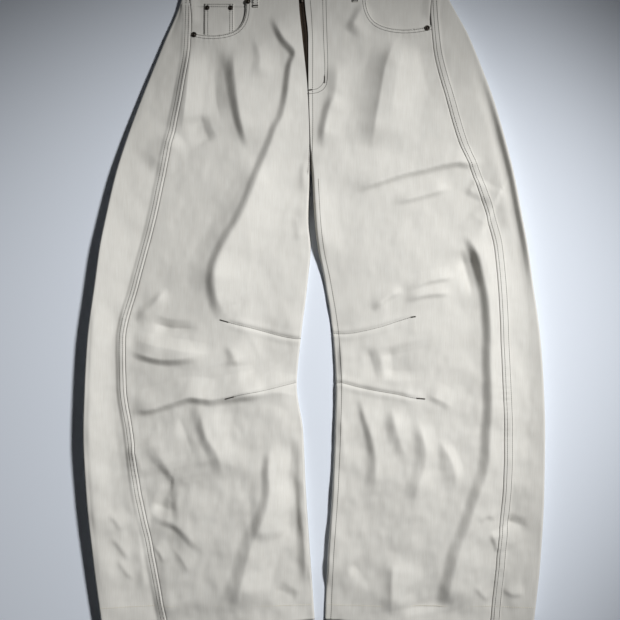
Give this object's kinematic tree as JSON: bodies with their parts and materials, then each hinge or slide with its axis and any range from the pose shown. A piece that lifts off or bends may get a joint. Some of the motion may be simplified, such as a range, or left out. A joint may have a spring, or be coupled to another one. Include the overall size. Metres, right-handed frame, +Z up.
{
  "type": "barrel leg trousers laid flat",
  "caption": "Ecru denim trousers with curved barrel legs, shaped side panels and knee darts, laid flat with the front up.",
  "frame": {"origin": "centre of the garment's outline, on the surface that it lies on", "axes": "+Y from the hems to the waist, +Z up out of the front, +X towards the wearer's left leg"},
  "size_m": [0.727, 1.041, 0.031],
  "materials": {
    "denim": "matte ecru cotton twill",
    "zip_tape": "matte woven tape",
    "trim_metal": "dark antique, half gloss"
  },
  "bodies": {
    "root": {"front_right": "denim", "side_right": "denim", "back_right": "denim", "front_left": "denim", "side_left": "denim", "back_left": "denim", "waistband": "denim", "pocket_facing_right": "denim", "pocket_facing_left": "denim", "coin_pocket": "denim", "fly_shield": "denim", "zip_tape": "zip_tape", "zip_slider": "trim_metal", "belt_loop_front_right": "denim", "belt_loop_front_left": "denim", "belt_loop_back_right": "denim", "belt_loop_back_centre": "denim", "belt_loop_back_left": "denim", "rivet_right_low": "trim_metal", "rivet_right_high": "trim_metal", "rivet_left_low": "trim_metal", "rivet_left_high": "trim_metal", "rivet_coin_inner": "trim_metal", "rivet_coin_outer": "trim_metal", "waist_button": "trim_metal"}
  },
  "joints": []
}
